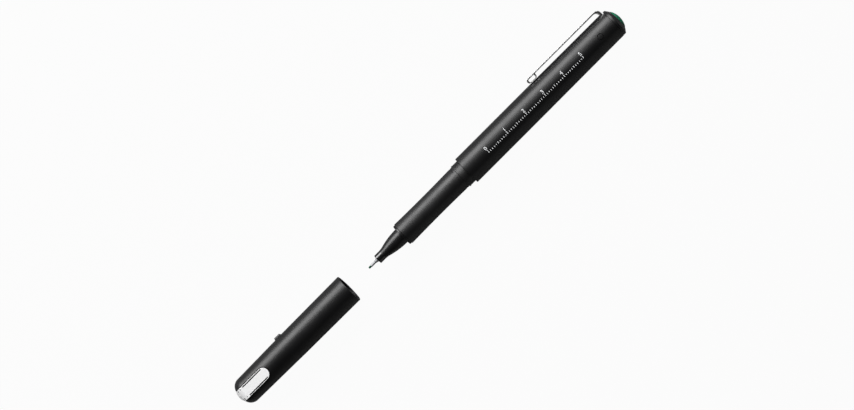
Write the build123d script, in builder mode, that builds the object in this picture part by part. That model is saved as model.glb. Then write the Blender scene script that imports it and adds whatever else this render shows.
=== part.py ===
from build123d import *
from math import cos, radians, sin, sqrt
import os

os.makedirs("parts", exist_ok=True)

# Capped fineliner pen, millimetres. The pen lies along X with its origin on the
# axis at the barrel's front shoulder: +X runs to the tail, +Y to the pocket clip
# and +Z up. The cap is drawn pulled off, in line with the pen, ahead of the tip.

# Barrel
barrel_length = 78.1
barrel_radius = 6.03
barrel_straight = 36.0
barrel_taper = 0.11
barrel_wall = 1.3
barrel_edge = 0.2
rib_count = 6
rib_thickness = 0.8
rib_end_gap = 1.0

# Grip section
section_length = 33.65
section_step = 0.23
section_waist = 0.14
section_chamfer = 0.25
spigot_length = 10.0
collar_length = 3.16
bead_length = 0.75
bead_height = 0.12
lug_count = 3
lug_length = 1.73
lug_width = 1.2
lug_height = 0.05
lug_angle = 56.0
lug_gap = 0.4

# Nose cone, nib sleeve and fibre nib
flange_length = 0.8
flange_step = 0.28
nose_shoulder = 1.29
nose_length = 9.0
nose_bulge = 0.3
nose_blend = 1.05
neck_radius = 1.85
neck_step = 0.16
neck_length = 2.8
neck_edge = 0.25
nose_spigot = 8.0
nose_chamber_radius = 1.4
nose_chamber_wall = 4.5
sleeve_radius = 0.5
sleeve_wall = 0.14
sleeve_exposed = 3.45
sleeve_root_radius = 0.85
sleeve_root_length = 1.3
nib_exposed = 1.15
nib_in_reservoir = 6.0

# Ink reservoir
reservoir_radius = 3.2
reservoir_end_gap = 0.3
wrap_thickness = 0.12
wrap_overhang = 0.15

# Tail crown and colour button
crown_spigot = 7.0
crown_post_length = 5.0
crown_post_radius = 2.2
seam_width = 0.2
seam_depth = 0.22
rim_length = 0.95
rim_step = 0.07
cone_length = 1.04
cone_end_radius = 4.45
button_radius = 3.9
button_seat = 0.6
button_stand = 0.45
button_dome = 1.08
button_stem_radius = 1.5
button_stem_length = 3.5

# Pocket clip, bent from one strip
clip_thickness = 0.38
clip_width = 4.6
clip_line = 7.83
clip_free_end = 39.8
clip_loop_length = 2.4
clip_curl_radius = 0.85
clip_curl_turn = 75.0
clip_bend_radius = 1.5
clip_root_gap = 0.3
clip_nose_round = 0.9
clip_touch_gap = 0.08
notch_floor = 0.55
notch_room = 0.27
notch_back = 0.45
notch_gap = 0.13
tongue_width = 2.4
tongue_length = 2.5
tongue_room = 0.2
tongue_lift = 0.29
tongue_bend = 0.45

# Cap, inner cap and inlaid strap
cap_pulled = 10.6
cap_wall = 0.68
cap_clearance = 0.12
cap_taper = 0.6
cap_swell = 0.14
cap_dome_radius = 11.0
cap_corner = 3.7
cap_end_wall = 3.15
cap_mouth_edge = 0.12
section_clearance = 0.17
collar_clearance = 1.2
seal_gap = 0.1
seal_clearance = 0.19
tip_clearance = 2.0
lip_stand = 1.6
liner_floor = 0.8
lip_margin = 0.45
nub_from_mouth = 30.0
nub_base = 3.5
nub_top = 2.35
nub_back_slope = 0.2
nub_hollow = 0.2
nub_height = 0.75
nub_width = 2.4
nub_ridge = 1.1
nub_edge = 0.15
strap_width = 5.0
strap_thickness = 0.9
strap_end_thickness = 1.15
strap_length = 15.25
strap_shoulder = 2.25
strap_proud = 0.1
strap_stand = 0.2
strap_bend = 3.4
strap_end_round = 5.2
strap_gap = 0.28
strap_past_centre = 1.6
groove_spacing = 4.0
groove_width = 0.4
groove_depth = 0.5
groove_length = 9.65
groove_from_tip = 1.7
dent_turn = 36.0
dent_length = 0.6
dent_depth = 0.25

# Clearance left where one piece is pressed into another
press_gap = 0.02

# Places along the axis, worked out from the lengths above
section_front = -section_length
flange_front = section_front - flange_length
ogive_front = flange_front - nose_length
neck_start = ogive_front - nose_blend
neck_front = neck_start - neck_length
sleeve_front = neck_front - sleeve_exposed
nib_front = sleeve_front - nib_exposed
reservoir_front = section_front + nose_spigot + reservoir_end_gap
crown_spigot_front = barrel_length - crown_spigot
crown_post_front = crown_spigot_front - crown_post_length
reservoir_rear = crown_post_front - reservoir_end_gap
rim_start = barrel_length + seam_width
cone_start = rim_start + rim_length
cone_end = cone_start + cone_length
clip_back = barrel_length - clip_root_gap
notch_start = clip_back - clip_thickness - notch_room
cap_mouth = nib_front - cap_pulled

# Radii that fit inside one another
barrel_tail_radius = barrel_radius - barrel_taper
bore_radius = barrel_radius - barrel_wall
bead_radius = barrel_radius - cap_wall - cap_clearance
collar_radius = bead_radius - bead_height
section_radius = collar_radius - section_step
flange_radius = section_radius - flange_step
nose_root_radius = flange_radius - nose_shoulder
wrap_radius = reservoir_radius + press_gap + wrap_thickness
reservoir_bore = wrap_radius + press_gap
nib_radius = sleeve_radius - sleeve_wall - press_gap
crown_radius = barrel_tail_radius - rim_step
notch_height = barrel_tail_radius - notch_floor

# Barrel: a tapered tube, open at both ends
with BuildPart() as barrel:
    with BuildSketch(Plane.XY):
        with BuildLine():
            Polyline(
                (0, 0),
                (0, barrel_radius),
                (barrel_straight, barrel_radius),
                (barrel_length, barrel_tail_radius),
                (barrel_length, 0),
                close=True,
            )
        make_face()
    revolve(axis=Axis.X)
    chamfer(barrel.edges().filter_by(GeomType.CIRCLE).group_by(Axis.X)[0], barrel_edge)
    with BuildSketch(Plane.YZ):
        Circle(bore_radius)
    extrude(amount=barrel_length, mode=Mode.SUBTRACT)
    # Ribs that hold the reservoir on the axis
    rib_height = bore_radius + press_gap - reservoir_bore
    with BuildSketch(Plane.YZ.offset(spigot_length + rib_end_gap)):
        with PolarLocations(reservoir_bore + rib_height / 2, rib_count):
            Rectangle(rib_height, rib_thickness)
    extrude(amount=crown_spigot_front - spigot_length - 2 * rib_end_gap)
    # Flat notch for the clip's root and a slot for its tongue
    with BuildSketch(Plane.XY):
        with Locations((notch_start, notch_height)):
            Rectangle(
                barrel_length - notch_start,
                2 * barrel_radius,
                align=(Align.MIN, Align.MIN),
            )
    extrude(amount=barrel_radius, both=True, mode=Mode.SUBTRACT)
    with BuildSketch(Plane.XY):
        with Locations((notch_start, bore_radius / 2)):
            Rectangle(
                barrel_length - notch_start,
                barrel_radius,
                align=(Align.MIN, Align.MIN),
            )
    extrude(amount=tongue_width / 2 + tongue_room, both=True, mode=Mode.SUBTRACT)
barrel.part.label = "barrel"
export_step(barrel.part, "parts/barrel.step")

# Grip section: a waisted tube, a collar with a bead and lugs for the cap, and a
# spigot for the barrel
bead_back = bead_length - collar_length
with BuildPart() as grip_section:
    with BuildSketch(Plane.XY):
        with BuildLine():
            front = (section_front, section_radius)
            back = (-collar_length, section_radius)
            waist = ((section_front - collar_length) / 2, section_radius - section_waist)
            Line((section_front, 0), front)
            ThreePointArc(front, waist, back)
            Polyline(
                back,
                (-collar_length, collar_radius),
                (bead_back - 2 * bead_length / 3, bead_radius),
                (bead_back - bead_length / 3, bead_radius),
                (bead_back, collar_radius),
                (0, collar_radius),
                (0, bore_radius - press_gap),
                (spigot_length, bore_radius - press_gap),
                (spigot_length, 0),
                (section_front, 0),
            )
        make_face()
    revolve(axis=Axis.X)
    front_rim = grip_section.edges().filter_by(GeomType.CIRCLE).sort_by(Axis.X)[0]
    chamfer(front_rim, section_chamfer)
    # Flat-topped lugs round the collar
    lug_place = bead_back + lug_gap + lug_length / 2
    for step in range(lug_count):
        turn = radians(lug_angle - step * 360 / lug_count)
        lug_plane = Plane(
            origin=(lug_place, 0, 0), x_dir=(1, 0, 0), z_dir=(0, sin(turn), cos(turn))
        )
        with BuildSketch(lug_plane.offset(collar_radius / 2 + reservoir_bore / 2)):
            Rectangle(lug_length, lug_width)
        extrude(amount=collar_radius / 2 - reservoir_bore / 2 + lug_height)
    with BuildSketch(Plane.YZ.offset(section_front)):
        Circle(reservoir_bore)
    extrude(amount=section_length + spigot_length, mode=Mode.SUBTRACT)
grip_section.part.label = "grip_section"
export_step(grip_section.part, "parts/grip_section.step")

# Nose cone: flange against the section, ogive, neck and a spigot behind
with BuildPart() as nose_cone:
    with BuildSketch(Plane.XY):
        with BuildLine():
            root = (flange_front, nose_root_radius)
            shoulder_radius = neck_radius + neck_step
            tip = (ogive_front, shoulder_radius)
            middle = (
                (flange_front + ogive_front) / 2,
                (nose_root_radius + shoulder_radius) / 2 + nose_bulge,
            )
            spigot_back = section_front + nose_spigot
            ThreePointArc(root, middle, tip)
            Polyline(
                tip,
                (neck_start, neck_radius),
                (neck_front, neck_radius),
                (neck_front, 0),
                (spigot_back, 0),
                (spigot_back, reservoir_bore - press_gap),
                (section_front, reservoir_bore - press_gap),
                (section_front, flange_radius),
                (flange_front, flange_radius),
                root,
            )
        make_face()
    revolve(axis=Axis.X)
    chamfer(nose_cone.edges().filter_by(GeomType.CIRCLE).group_by(Axis.X)[0], neck_edge)
    with BuildSketch(Plane.YZ.offset(neck_front)):
        Circle(sleeve_radius + press_gap)
    extrude(amount=section_front - neck_front, mode=Mode.SUBTRACT)
    with BuildSketch(Plane.YZ.offset(ogive_front + nose_chamber_wall)):
        Circle(nose_chamber_radius)
    extrude(amount=spigot_back - ogive_front - nose_chamber_wall, mode=Mode.SUBTRACT)
nose_cone.part.label = "nose_cone"
export_step(nose_cone.part, "parts/nose_cone.step")

# Nib sleeve: thin metal tube pressed through the neck up to its tapered root
sleeve_rear = ogive_front + nose_chamber_wall
sleeve_seat = neck_front - press_gap
with BuildPart() as nib_sleeve:
    with BuildSketch(Plane.XY):
        with BuildLine():
            Polyline(
                (sleeve_front, nib_radius + press_gap),
                (sleeve_front, sleeve_radius),
                (sleeve_seat - sleeve_root_length, sleeve_radius),
                (sleeve_seat, sleeve_root_radius),
                (sleeve_seat, sleeve_radius),
                (sleeve_rear, sleeve_radius),
                (sleeve_rear, nib_radius + press_gap),
                close=True,
            )
        make_face()
    revolve(axis=Axis.X)
nib_sleeve.part.label = "nib_sleeve"
export_step(nib_sleeve.part, "parts/nib_sleeve.step")

# Fibre nib: one rod from the rounded writing tip back into the reservoir
nib_rear = reservoir_front + nib_in_reservoir
with BuildPart() as fibre_nib:
    with BuildSketch(Plane.XY):
        with BuildLine():
            round_end = nib_front + nib_radius
            diagonal = nib_radius * sin(radians(45))
            Line((nib_rear, 0), (nib_front, 0))
            ThreePointArc(
                (nib_front, 0),
                (round_end - diagonal, diagonal),
                (round_end, nib_radius),
            )
            Polyline((round_end, nib_radius), (nib_rear, nib_radius), (nib_rear, 0))
        make_face()
    revolve(axis=Axis.X)
fibre_nib.part.label = "fibre_nib"
export_step(fibre_nib.part, "parts/fibre_nib.step")

# Ink reservoir: a fibre stick in a film wrap
with BuildPart() as ink_reservoir:
    with BuildSketch(Plane.YZ.offset(reservoir_front)):
        Circle(reservoir_radius)
    extrude(amount=reservoir_rear - reservoir_front)
    with BuildSketch(Plane.YZ.offset(reservoir_front)):
        Circle(nib_radius + press_gap)
    extrude(amount=nib_in_reservoir + press_gap, mode=Mode.SUBTRACT)
ink_reservoir.part.label = "ink_reservoir"
export_step(ink_reservoir.part, "parts/ink_reservoir.step")

with BuildPart() as reservoir_wrap:
    with BuildSketch(Plane.YZ.offset(reservoir_front - wrap_overhang)):
        Circle(wrap_radius)
        Circle(reservoir_radius + press_gap, mode=Mode.SUBTRACT)
    extrude(amount=reservoir_rear - reservoir_front + 2 * wrap_overhang)
reservoir_wrap.part.label = "reservoir_wrap"
export_step(reservoir_wrap.part, "parts/reservoir_wrap.step")

# Tail crown: plug with a post against the reservoir, a rim and a cone
tongue_ceiling = sqrt(bore_radius**2 - (tongue_width / 2) ** 2)
tongue_line = tongue_ceiling - tongue_lift - clip_thickness / 2
tongue_floor = tongue_line - clip_thickness / 2 - tongue_room
button_floor = cone_end - button_seat
with BuildPart() as tail_crown:
    with BuildSketch(Plane.XY):
        with BuildLine():
            Polyline(
                (crown_post_front, 0),
                (crown_post_front, crown_post_radius),
                (crown_spigot_front, crown_post_radius),
                (crown_spigot_front, bore_radius - press_gap),
                (barrel_length, bore_radius - press_gap),
                (barrel_length, crown_radius - seam_depth),
                (rim_start, crown_radius - seam_depth),
                (rim_start, crown_radius),
                (cone_start, crown_radius),
                (cone_end, cone_end_radius),
                (cone_end, 0),
                close=True,
            )
        make_face()
    revolve(axis=Axis.X)
    with BuildSketch(Plane.YZ.offset(button_floor)):
        Circle(button_radius + press_gap)
    extrude(amount=button_seat, mode=Mode.SUBTRACT)
    with BuildSketch(Plane.YZ.offset(button_floor)):
        Circle(button_stem_radius + press_gap)
    extrude(amount=-button_stem_length - press_gap, mode=Mode.SUBTRACT)
    # The notch goes on across the rim, and the tongue lies in a flat on the spigot
    with BuildSketch(Plane.XY):
        with Locations((barrel_length, notch_height)):
            Rectangle(notch_back, crown_radius, align=(Align.MIN, Align.MIN))
    extrude(amount=crown_radius, both=True, mode=Mode.SUBTRACT)
    with BuildSketch(Plane.XY):
        with Locations((barrel_length, tongue_floor)):
            Rectangle(
                tongue_length + clip_root_gap + clip_thickness + tongue_room,
                crown_radius,
                align=(Align.MAX, Align.MIN),
            )
    extrude(amount=tongue_width / 2 + tongue_room, both=True, mode=Mode.SUBTRACT)
tail_crown.part.label = "tail_crown"
export_step(tail_crown.part, "parts/tail_crown.step")

# Colour button: a domed disc with a stem, pressed into the crown
with BuildPart() as colour_button:
    with BuildSketch(Plane.XY):
        with BuildLine():
            dome_base = cone_end + button_stand
            dome_apex = dome_base + button_dome
            dome_round = (button_radius**2 + button_dome**2) / (2 * button_dome)
            half_way = button_radius / 2
            half_rise = sqrt(dome_round**2 - half_way**2) - dome_round + button_dome
            Polyline(
                (dome_apex, 0),
                (button_floor - button_stem_length, 0),
                (button_floor - button_stem_length, button_stem_radius),
                (button_floor, button_stem_radius),
                (button_floor, button_radius),
                (dome_base, button_radius),
            )
            ThreePointArc(
                (dome_base, button_radius),
                (dome_base + half_rise, half_way),
                (dome_apex, 0),
            )
        make_face()
    revolve(axis=Axis.X)
colour_button.part.label = "colour_button"
export_step(colour_button.part, "parts/colour_button.step")

# Pocket clip: curl, folded loop, arm, root bend and leg follow one bent line
loop_line = barrel_radius + clip_touch_gap + clip_thickness / 2
fold_radius = (clip_line - loop_line) / 2
fold_centre = clip_free_end + clip_thickness / 2 + fold_radius
leg_line = clip_back - clip_thickness / 2
leg_foot = notch_height + notch_gap
curl_foot = fold_centre + clip_loop_length


def curl_point(degrees):
    turn = radians(degrees)
    along = curl_foot + clip_curl_radius * sin(turn)
    return (along, loop_line + clip_curl_radius * (1 - cos(turn)))


with BuildPart() as clip:
    with BuildSketch(Plane.XY):
        with BuildLine():
            ThreePointArc(
                curl_point(clip_curl_turn),
                curl_point(clip_curl_turn / 2),
                curl_point(0),
            )
            Line(curl_point(0), (fold_centre, loop_line))
            ThreePointArc(
                (fold_centre, loop_line),
                (fold_centre - fold_radius, loop_line + fold_radius),
                (fold_centre, clip_line),
            )
            FilletPolyline(
                (fold_centre, clip_line),
                (leg_line, clip_line),
                (leg_line, leg_foot),
                radius=clip_bend_radius,
            )
        trace(line_width=clip_thickness)
    extrude(amount=clip_width / 2, both=True)
    # Rounded corners at the folded end, seen from above the clip
    with BuildSketch(Plane.XZ) as strip_plan:
        with Locations((clip_free_end, 0)):
            Rectangle(barrel_length, clip_width, align=(Align.MIN, Align.CENTER))
        fillet(strip_plan.vertices().group_by(Axis.X)[0], clip_nose_round)
    extrude(amount=-2 * clip_line, mode=Mode.INTERSECT)
    # Narrow tongue that hooks under the barrel's wall
    with BuildSketch(Plane.XY):
        with BuildLine():
            FilletPolyline(
                (leg_line, leg_foot + clip_thickness),
                (leg_line, tongue_line),
                (leg_line - tongue_length, tongue_line),
                radius=tongue_bend,
            )
        trace(line_width=clip_thickness)
    extrude(amount=tongue_width / 2, both=True)
clip.part.label = "clip"
export_step(clip.part, "parts/clip.step")

# Cap: depths run from its mouth towards the closed end
lip_depth = section_length + flange_length + seal_gap
liner_end = tip_clearance - nib_front + liner_floor
cap_length = liner_end + cap_end_wall
cap_end_radius = barrel_radius - cap_taper
dome_centre = cap_length - cap_dome_radius
corner_depth = dome_centre + sqrt(cap_dome_radius**2 - cap_end_radius**2)


def cap_radius(depth):
    share = depth / corner_depth
    return barrel_radius - cap_taper * share + 4 * cap_swell * share * (1 - share)


# Strap: a flat bar let into the cap's top and bent down over its closed end
strap_level = cap_end_radius + strap_stand
strap_floor = strap_level - strap_thickness
strap_back = cap_mouth - cap_length - strap_proud
strap_wall = strap_back + strap_end_thickness
strap_tip = strap_back + strap_length
strap_beyond = strap_back - strap_width


def strap_limits(gap):
    half = strap_width / 2 + gap
    shoulder = strap_tip - strap_shoulder
    with BuildPart() as limits:
        # Seen from above: straight sides and a rounded tip
        with BuildSketch(Plane.XY):
            with BuildLine():
                Polyline(
                    (shoulder, -half), (strap_beyond, -half), (strap_beyond, half), (shoulder, half)
                )
                ThreePointArc((shoulder, half), (strap_tip + gap, 0), (shoulder, -half))
            make_face()
        extrude(amount=2 * barrel_radius, both=True)
        # Seen from the closed end: a rounded foot just past the axis
        with BuildSketch(Plane.YZ.offset(strap_beyond)):
            with Locations((0, strap_width / 2 - strap_past_centre)):
                Circle(half)
                Rectangle(2 * half, 2 * barrel_radius, align=(Align.CENTER, Align.MIN))
        extrude(amount=strap_length + 2 * strap_width, mode=Mode.INTERSECT)
    return limits.part


with BuildPart() as cap_strap:
    with BuildSketch(Plane.XZ):
        with BuildLine():
            FilletPolyline(
                (strap_tip, strap_level),
                (strap_back, strap_level),
                (strap_back, -strap_width),
                radius=strap_bend,
            )
            Line((strap_back, -strap_width), (strap_wall, -strap_width))
            FilletPolyline(
                (strap_wall, -strap_width),
                (strap_wall, strap_floor),
                (strap_tip, strap_floor),
                radius=strap_bend - strap_thickness,
            )
            Line((strap_tip, strap_floor), (strap_tip, strap_level))
        make_face()
    extrude(amount=strap_width, both=True)
    add(strap_limits(0), mode=Mode.INTERSECT)
    # Seen from above, the closed end is rounded as the cap's dome is
    with BuildSketch(Plane.XY):
        with Locations((strap_back + strap_end_round, 0)):
            Circle(strap_end_round)
            Rectangle(strap_length, 2 * strap_end_round, align=(Align.MIN, Align.CENTER))
    extrude(amount=2 * barrel_radius, both=True, mode=Mode.INTERSECT)
    # Two grooves along the flat and a short dent in line with each on the bend
    with BuildSketch(Plane.XY.offset(strap_level)):
        with Locations((strap_tip - groove_from_tip - groove_length / 2, 0)):
            with GridLocations(0, groove_spacing, 1, 2):
                SlotOverall(groove_length, groove_width)
    extrude(amount=-groove_depth, mode=Mode.SUBTRACT)
    across, upward = sin(radians(dent_turn)), cos(radians(dent_turn))
    dent_plane = Plane(
        origin=(
            strap_back + strap_bend - strap_bend * across,
            0,
            strap_level - strap_bend + strap_bend * upward,
        ),
        x_dir=(upward, 0, across),
        z_dir=(-across, 0, upward),
    )
    with BuildSketch(dent_plane):
        with GridLocations(0, groove_spacing, 1, 2):
            SlotOverall(dent_length, groove_width)
    extrude(amount=-dent_depth, mode=Mode.SUBTRACT)
cap_strap.part.label = "cap_strap"
export_step(cap_strap.part, "parts/cap_strap.step")

# The pocket is all that lies outside the strap's inner face, inside its limits
with BuildPart() as strap_pocket:
    with BuildSketch(Plane.XZ):
        pocket_floor = strap_floor - press_gap
        pocket_wall = strap_wall + press_gap
        pocket_tip = strap_tip + strap_gap
        with BuildLine():
            FilletPolyline(
                (pocket_tip, pocket_floor),
                (pocket_wall, pocket_floor),
                (pocket_wall, -strap_width),
                radius=strap_bend - strap_thickness - press_gap,
            )
            Polyline(
                (pocket_wall, -strap_width),
                (strap_beyond, -strap_width),
                (strap_beyond, 2 * barrel_radius),
                (pocket_tip, 2 * barrel_radius),
                (pocket_tip, pocket_floor),
            )
        make_face()
    extrude(amount=strap_width, both=True)
    add(strap_limits(strap_gap), mode=Mode.INTERSECT)

# Inner cap: a cup whose lip closes on the nose cone's flange
lip_outer = flange_radius - lip_margin
lip_inner = nose_root_radius + seal_clearance
with BuildPart() as inner_cap:
    with BuildSketch(Plane.YZ.offset(cap_mouth - lip_depth)):
        Circle(lip_outer)
    extrude(amount=lip_depth - liner_end)
    with BuildSketch(Plane.YZ.offset(cap_mouth - lip_depth)):
        Circle(lip_inner)
    extrude(amount=lip_depth - liner_end + liner_floor, mode=Mode.SUBTRACT)
inner_cap.part.label = "inner_cap"
export_step(inner_cap.part, "parts/inner_cap.step")

# Cap shell: tapered and domed, stepped inside, with an anti-roll nub
liner_seat = lip_depth + lip_stand
grip_bore = section_radius + section_clearance
collar_bore = bead_radius + cap_clearance
with BuildPart() as cap_shell:
    with BuildSketch(Plane.XY) as cap_outline:
        rim = (cap_mouth, barrel_radius)
        middle = (cap_mouth - corner_depth / 2, cap_radius(corner_depth / 2))
        corner = (cap_mouth - corner_depth, cap_end_radius)
        dome_half = dome_centre + sqrt(cap_dome_radius**2 - (cap_end_radius / 2) ** 2)
        apex = (cap_mouth - cap_length, 0)
        with BuildLine():
            Polyline(rim, middle, corner)
            ThreePointArc(corner, (cap_mouth - dome_half, cap_end_radius / 2), apex)
            Polyline(apex, (cap_mouth, 0), rim)
        make_face()
        fillet(cap_outline.vertices().sort_by_distance(corner)[0], cap_corner)
        chamfer(cap_outline.vertices().sort_by_distance(rim)[0], cap_mouth_edge)
    revolve(axis=Axis.X)
    with BuildSketch(Plane.YZ.offset(cap_mouth)):
        Circle(collar_bore)
    extrude(amount=-collar_length - collar_clearance, mode=Mode.SUBTRACT)
    with BuildSketch(Plane.YZ.offset(cap_mouth)):
        Circle(grip_bore)
    extrude(amount=-liner_seat, mode=Mode.SUBTRACT)
    with BuildSketch(Plane.YZ.offset(cap_mouth)):
        Circle(lip_outer + press_gap)
    extrude(amount=-liner_end - press_gap, mode=Mode.SUBTRACT)
    add(strap_pocket.part, mode=Mode.SUBTRACT)

# Nub: steep towards the closed end, hollowed towards the mouth, narrower at its crest
nub_seat = cap_radius(nub_from_mouth + nub_base / 2)
nub_root = (grip_bore + nub_seat) / 2
nub_crest = nub_seat + nub_height
nub_front = cap_mouth - nub_from_mouth
nub_back = nub_front - nub_base
brow_back = nub_back + nub_back_slope
brow_front = brow_back + nub_top
with BuildPart() as nub:
    with BuildSketch(Plane.XY):
        with BuildLine():
            hollow = (
                (brow_front + nub_front) / 2 - nub_hollow,
                (nub_crest + nub_seat) / 2 - nub_hollow,
            )
            ThreePointArc((nub_front, nub_seat), hollow, (brow_front, nub_crest))
            Polyline(
                (brow_front, nub_crest),
                (brow_back, nub_crest),
                (nub_back, nub_seat),
                (nub_back, nub_root),
                (nub_front, nub_root),
                (nub_front, nub_seat),
            )
        make_face()
    extrude(amount=nub_width / 2, both=True)
    with BuildSketch(Plane.YZ.offset(nub_back)):
        with BuildLine():
            Polyline(
                (nub_root, -nub_width / 2),
                (nub_crest, -nub_ridge / 2),
                (nub_crest, nub_ridge / 2),
                (nub_root, nub_width / 2),
                close=True,
            )
        make_face()
    extrude(amount=nub_base, mode=Mode.INTERSECT)
    fillet(nub.faces().sort_by(Axis.Y)[-1].edges(), nub_edge)

with BuildPart() as nubbed_cap:
    add(cap_shell.part)
    add(nub.part)
nubbed_cap.part.label = "cap_shell"
export_step(nubbed_cap.part, "parts/cap_shell.step")
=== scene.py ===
import math
from functools import partial

import bmesh
import bpy
from mathutils import Matrix, Vector


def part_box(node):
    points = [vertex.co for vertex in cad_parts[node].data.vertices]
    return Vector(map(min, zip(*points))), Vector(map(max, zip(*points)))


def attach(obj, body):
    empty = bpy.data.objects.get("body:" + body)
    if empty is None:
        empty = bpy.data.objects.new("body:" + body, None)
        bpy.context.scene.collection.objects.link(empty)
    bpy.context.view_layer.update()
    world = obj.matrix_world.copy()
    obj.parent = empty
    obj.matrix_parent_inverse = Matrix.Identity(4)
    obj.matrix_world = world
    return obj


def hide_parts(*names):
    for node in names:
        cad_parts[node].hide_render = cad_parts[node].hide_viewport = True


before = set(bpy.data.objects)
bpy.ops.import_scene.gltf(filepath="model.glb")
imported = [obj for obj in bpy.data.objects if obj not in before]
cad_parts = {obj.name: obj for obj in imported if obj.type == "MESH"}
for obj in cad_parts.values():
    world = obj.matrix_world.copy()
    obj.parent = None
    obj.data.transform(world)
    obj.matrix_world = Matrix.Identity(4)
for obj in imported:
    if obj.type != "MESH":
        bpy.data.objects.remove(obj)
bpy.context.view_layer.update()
mm = 0.001  # pieces are drawn in millimetres and placed in metres


def linear(hexCode):
    # sRGB hex to the linear colour that the sockets take
    parts = [int(hexCode[i:i + 2], 16) / 255 for i in (1, 3, 5)]
    return [c / 12.92 if c <= 0.04045 else ((c + 0.055) / 1.055) ** 2.4 for c in parts] + [1.0]


def addNode(tree, kind, inputs=None, **settings):
    # an input is a constant, a socket, or a node whose first output is meant
    node = tree.nodes.new(kind)
    for key, value in settings.items():
        setattr(node, key, value)
    for key, value in (inputs or {}).items():
        if isinstance(value, bpy.types.Node):
            value = value.outputs[0]
        if isinstance(value, bpy.types.NodeSocket):
            tree.links.new(value, node.inputs[key])
        else:
            node.inputs[key].default_value = value
    return node


def span(node):
    low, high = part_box(node)
    return low / mm, high / mm


def shadeSoftly(mesh, sharpDegrees=38):
    mesh.polygons.foreach_set("use_smooth", [True] * len(mesh.polygons))
    mesh.set_sharp_from_angle(angle=math.radians(sharpDegrees))


def settle(piece):
    # modifiers become the piece's own plain mesh
    graph = bpy.context.evaluated_depsgraph_get()
    finished = bpy.data.meshes.new_from_object(piece.evaluated_get(graph))
    piece.modifiers.clear()
    piece.data = finished
    shadeSoftly(finished)
    return piece


def addObject(name, data):
    holder = bpy.data.objects.new(name, data)
    bpy.context.scene.collection.objects.link(holder)
    return holder


def newPiece(name, shape, material):
    bmesh.ops.recalc_face_normals(shape, faces=shape.faces)
    mesh = bpy.data.meshes.new(name)
    shape.to_mesh(mesh)
    shape.free()
    shadeSoftly(mesh)
    mesh.materials.append(material)
    return addObject(name, mesh)


def keep(piece, body, slotName, *nodes):
    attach(piece, body)
    if nodes:
        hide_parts(*nodes)
    print("piece", piece.name, len(piece.data.polygons), "faces")


def arc(centre, radius, startDegrees, endDegrees, count):
    turns = [math.radians(startDegrees + (endDegrees - startDegrees) * k / count) for k in range(count + 1)]
    return [(centre[0] + radius * math.cos(a), centre[1] + radius * math.sin(a)) for a in turns]


def bowed(start, end, bulge, count):
    # a shallow bow between two outline points, its middle raised by bulge
    points = []
    for k in range(count + 1):
        t = k / count
        lift = bulge * 4 * t * (1 - t)
        points.append((start[0] + (end[0] - start[0]) * t, start[1] + (end[1] - start[1]) * t + lift))
    return points


def softOutline(look, corners, hold=0.04, longest=3.0):
    # a corner is along, radius and, unless it is sharp, its rounding, each by size or by its name in look;
    # loops beside each rounding hold the shading flat
    roundedShare, heldShare = 0.42, 0.48  # most of a side that a rounding or its loop may take
    degreesPerStep = 10
    corners = [[look.get(measure, measure) for measure in corner] for corner in corners]
    points = []
    for k, (along, radius, *rounding) in enumerate(corners):
        here = Vector((along, radius))
        before = Vector(corners[k - 1][:2]) - here
        after = Vector(corners[(k + 1) % len(corners)][:2]) - here
        if not any(rounding):
            points.append(here)
            continue
        opening = before.angle(after)
        reach = rounding[0] / math.tan(opening / 2)
        reach = min(reach, roundedShare * before.length, roundedShare * after.length)
        size = reach * math.tan(opening / 2)
        toCentre = (before.normalized() + after.normalized()).normalized()
        centre = here + toCentre * size / math.sin(opening / 2)
        first = here + before.normalized() * reach - centre
        turn = first.angle_signed(here + after.normalized() * reach - centre)
        steps = max(3, round(math.degrees(abs(turn)) / degreesPerStep))
        points.append(here + before.normalized() * min(reach + hold, heldShare * before.length))
        for j in range(steps + 1):
            points.append(centre + Matrix.Rotation(-turn * j / steps, 2) @ first)
        points.append(here + after.normalized() * min(reach + hold, heldShare * after.length))
    filled = []
    for k, point in enumerate(points):
        filled.append(point)
        ahead = points[(k + 1) % len(points)] - point
        cuts = int(ahead.length / longest) if k + 1 < len(points) else 0
        filled += [point + ahead * j / (cuts + 1) for j in range(1, cuts + 1)]
    return filled


def turned(name, outline, material, closed=True, segments=160):
    # revolves an outline about the pen's axis; a point on the axis becomes a pole
    shape = bmesh.new()
    rings = []
    for along, radius in outline:
        turns = [math.tau * k / segments for k in range(segments)] if radius > 1e-6 else [0]
        rings.append([
            shape.verts.new((along * mm, radius * mm * math.sin(a), radius * mm * math.cos(a))) for a in turns
        ])
    pairs = list(zip(rings, rings[1:] + rings[:1]))
    for near, far in pairs if closed else pairs[:-1]:
        for k in range(segments):
            corners = [near[k % len(near)], near[(k + 1) % len(near)]]
            corners += [far[(k + 1) % len(far)], far[k % len(far)]]
            shape.faces.new(list(dict.fromkeys(corners)))
    return newPiece(name, shape, material)


def block(low, high, rounding=0.0):
    shape = bmesh.new()
    bmesh.ops.create_cube(shape, size=1)
    size = (Vector(high) - Vector(low)) * mm
    middle = (Vector(high) + Vector(low)) / 2 * mm
    for vert in shape.verts:
        vert.co = middle + Vector(c * s for c, s in zip(vert.co, size))
    if rounding:
        edges = list(shape.edges)
        bmesh.ops.bevel(shape, geom=edges, offset=rounding * mm, segments=3, profile=0.5, affect="EDGES")
    return shape


def cutAway(piece, shape):
    cutter = newPiece(piece.name + "Cutter", shape, piece.data.materials[0])
    modifier = piece.modifiers.new("cut", "BOOLEAN")
    modifier.operation = "DIFFERENCE"
    modifier.solver = "EXACT"
    modifier.object = cutter
    settle(piece)
    bpy.data.objects.remove(cutter)


def bridge(shape, near, far):
    # a band of faces between two rings of corners
    for k in range(len(near)):
        following = (k + 1) % len(near)
        shape.faces.new((near[k], near[following], far[following], far[k]))


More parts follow.
